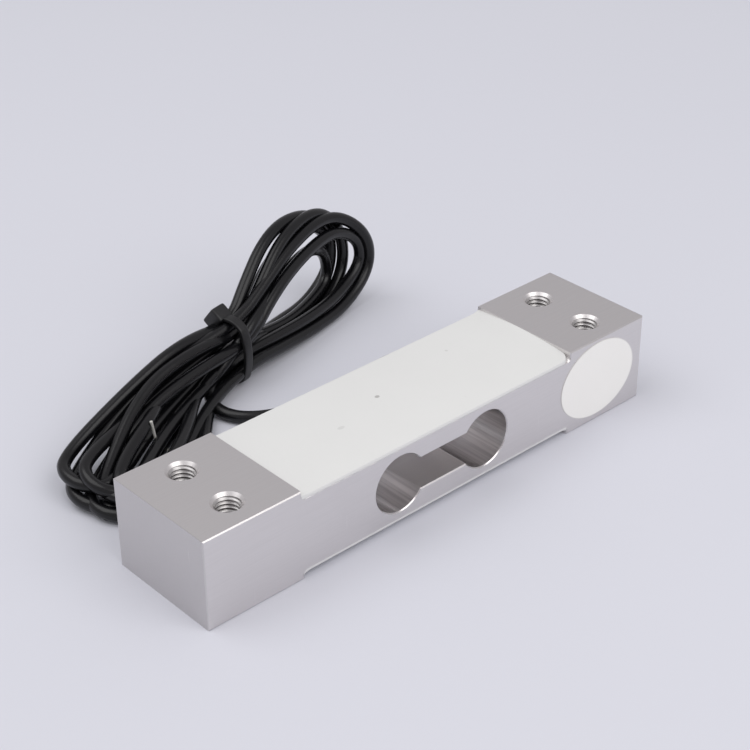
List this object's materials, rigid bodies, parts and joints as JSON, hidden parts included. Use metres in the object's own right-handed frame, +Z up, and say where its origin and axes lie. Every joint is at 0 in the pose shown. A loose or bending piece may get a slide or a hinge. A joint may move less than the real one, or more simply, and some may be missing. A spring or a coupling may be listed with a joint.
{
  "type": "single point load cell",
  "caption": "Aluminium binocular beam load cell with silicone-sealed strain gauges, tapped mounting pads at both ends and a tied signal cable.",
  "frame": {"origin": "middle of the bar's underside", "axes": "+X along the bar towards the end with the label, +Y towards the back where the cable leaves, +Z up, in the direction of the load line"},
  "size_m": [0.13, 0.0893, 0.0312],
  "materials": {
    "aluminium_bar": "fine milled, clear anodised, satin",
    "white_silicone": "matt cast silicone",
    "gauge_film": "polyimide film",
    "gauge_foil": "etched constantan foil",
    "copper": "bare copper",
    "board_film": "polyimide film with tinned pads",
    "resistor_foil": "nickel foil",
    "green_insulation": "smooth",
    "black_insulation": "smooth",
    "red_insulation": "smooth",
    "white_insulation": "smooth",
    "white_label": "plain vinyl",
    "black_jacket": "satin PVC",
    "black_nylon": "moulded nylon"
  },
  "bodies": {
    "root": {"spring_body": "aluminium_bar", "top_potting": "white_silicone", "bottom_potting": "white_silicone", "cable_seal": "white_silicone", "gauge_top_left": "gauge_film", "grid_top_left": "gauge_foil", "ribbons_top_left": "copper", "gauge_top_right": "gauge_film", "grid_top_right": "gauge_foil", "ribbons_top_right": "copper", "gauge_bottom_left": "gauge_film", "grid_bottom_left": "gauge_foil", "ribbons_bottom_left": "copper", "gauge_bottom_right": "gauge_film", "grid_bottom_right": "gauge_foil", "ribbons_bottom_right": "copper", "terminal_board": "board_film", "bottom_terminal_strip": "board_film", "span_resistor": "resistor_foil", "zero_resistor": "resistor_foil", "bridge_wires": "copper", "conductor_green": "green_insulation", "conductor_black": "black_insulation", "conductor_red": "red_insulation", "conductor_white": "white_insulation", "oval_label": "white_label", "cable_lead": "black_jacket", "cable_hank": "black_jacket", "cable_tie": "black_nylon", "tail_green": "green_insulation", "tail_black": "black_insulation", "tail_red": "red_insulation", "tail_white": "white_insulation"}
  },
  "joints": []
}
